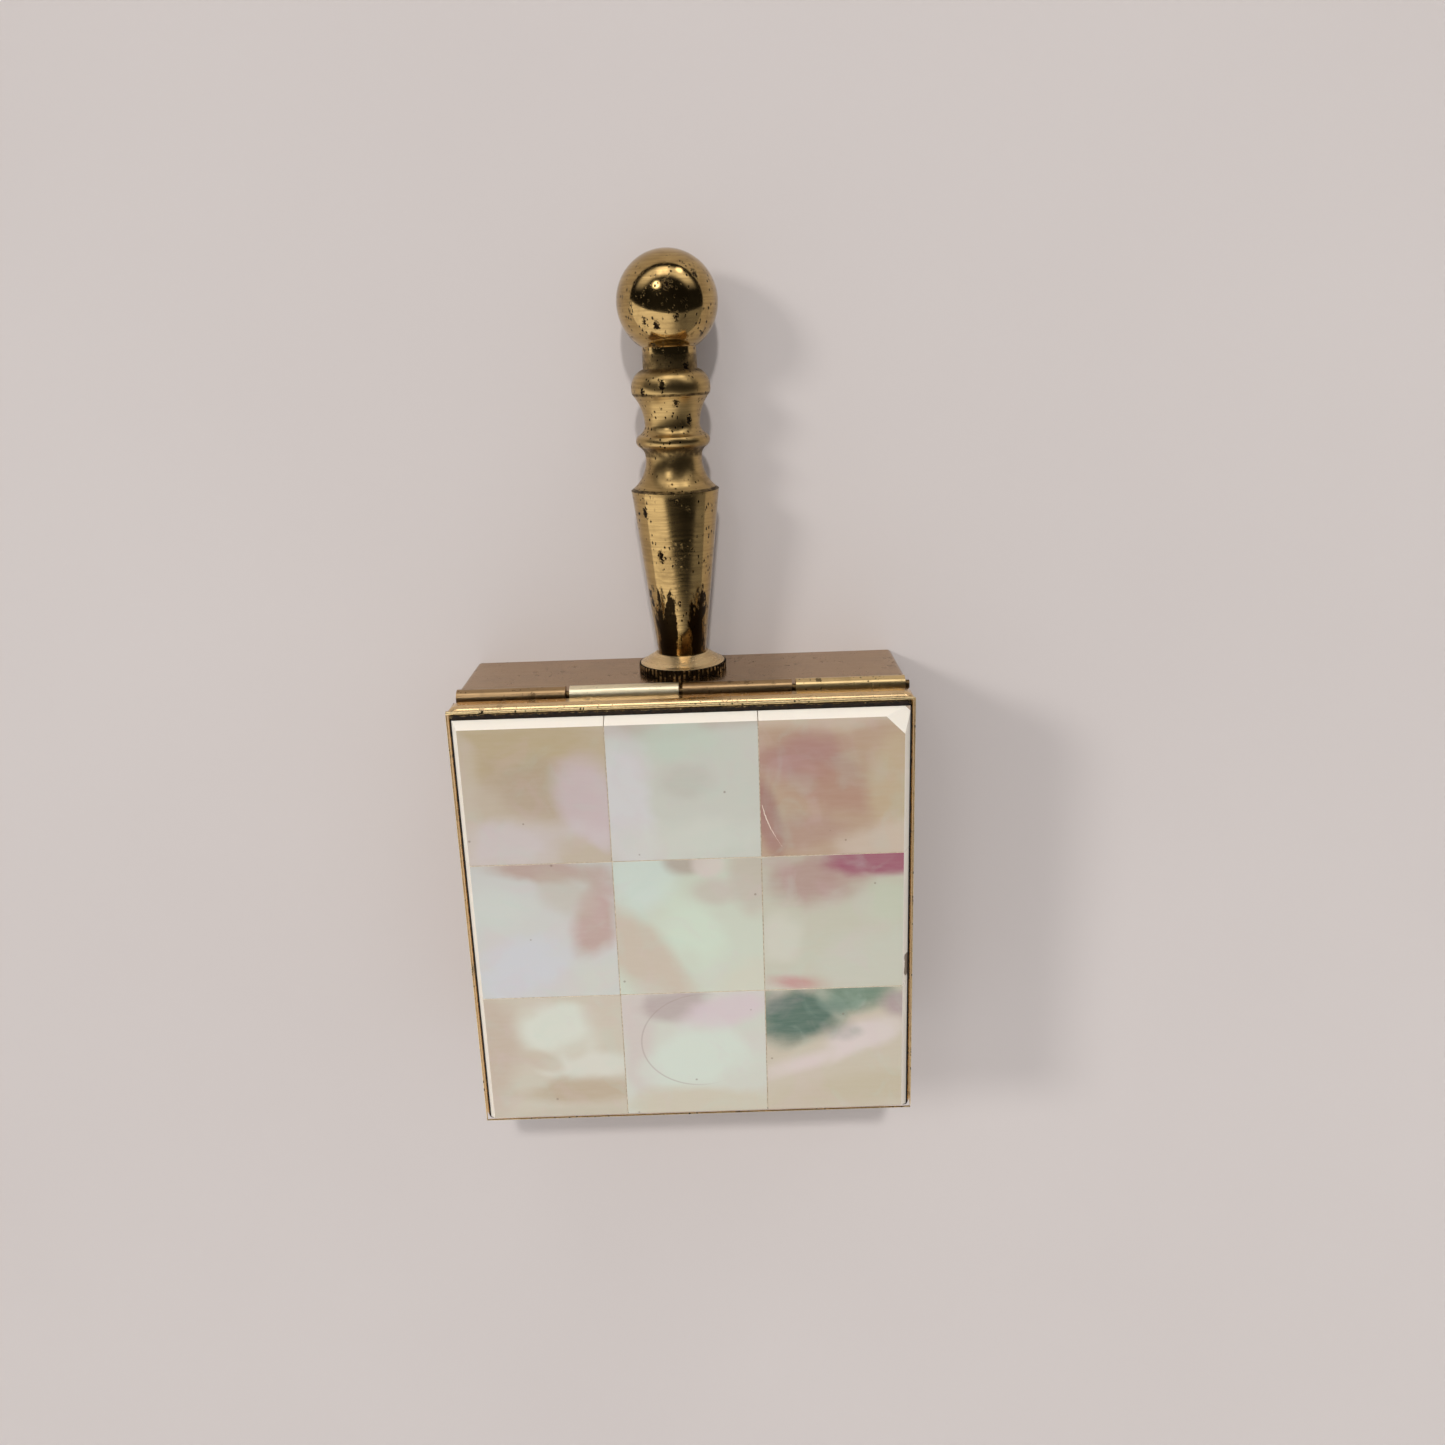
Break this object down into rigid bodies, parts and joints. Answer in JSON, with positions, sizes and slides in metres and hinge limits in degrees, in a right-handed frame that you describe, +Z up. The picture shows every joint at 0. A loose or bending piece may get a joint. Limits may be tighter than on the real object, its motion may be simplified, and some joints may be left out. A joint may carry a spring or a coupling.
{
  "type": "pill crusher",
  "caption": "Square hinged brass box with a shell-tiled lid, a lined well for crushing pills, and a turned ball-ended pestle that screws into its rear wall.",
  "frame": {"origin": "centre of the base's underside", "axes": "+Z up through the lid, +Y from the hinge along the pestle, +X along the hinge"},
  "size_m": [0.0444, 0.0853, 0.0179],
  "materials": {
    "brass_satin": "satin, brushed along the walls, worn on the edges",
    "brass_turned": "polished turning with fine tool lines and small tarnish spots",
    "gilt_liner": "bright gilt",
    "steel": "plain drawn wire and spring strip",
    "cement": "brown cement",
    "shell": "polished mother-of-pearl with a soft pink and green play of colour"
  },
  "bodies": {
    "base": {"base_pan": "brass_satin", "liner_tray": "gilt_liner", "hinge_knuckle_1": "brass_satin", "hinge_knuckle_3": "brass_satin", "hinge_pin": "steel", "catch_spring": "steel", "catch_rivets": "brass_satin", "pestle_bush": "gilt_liner"},
    "lid": {"lid_frame": "brass_satin", "tile_bed": "cement", "tile_1_1": "shell", "tile_1_2": "shell", "tile_1_3": "shell", "tile_2_1": "shell", "tile_2_2": "shell", "tile_2_3": "shell", "tile_3_1": "shell", "tile_3_2": "shell", "tile_3_3": "shell", "hinge_knuckle_2": "brass_satin", "hinge_knuckle_4": "brass_satin", "catch_tongue": "gilt_liner"},
    "collar": {"collar": "brass_turned"},
    "pestle": {"pestle": "brass_turned"}
  },
  "joints": [
    {"name": "lid_hinge", "type": "hinge", "parent": "base", "child": "lid", "pos_m": [0, 0.0224, 0.01365], "axis": [-1, 0, 0], "range_deg": [0, 165]},
    {"name": "pestle_slide", "type": "slide", "parent": "base", "child": "collar", "axis": [0, 1, 0], "range_m": [0, 0.0048]},
    {"name": "pestle_turn", "type": "hinge", "parent": "collar", "child": "pestle", "pos_m": [0, 0.0224, 0.0049], "axis": [0, 1, 0], "range_deg": [0, 2160]}
  ],
  "couplings": [
    {"joint": "pestle_turn", "follows": "pestle_slide", "rad_per_m": 7853.9}
  ]
}
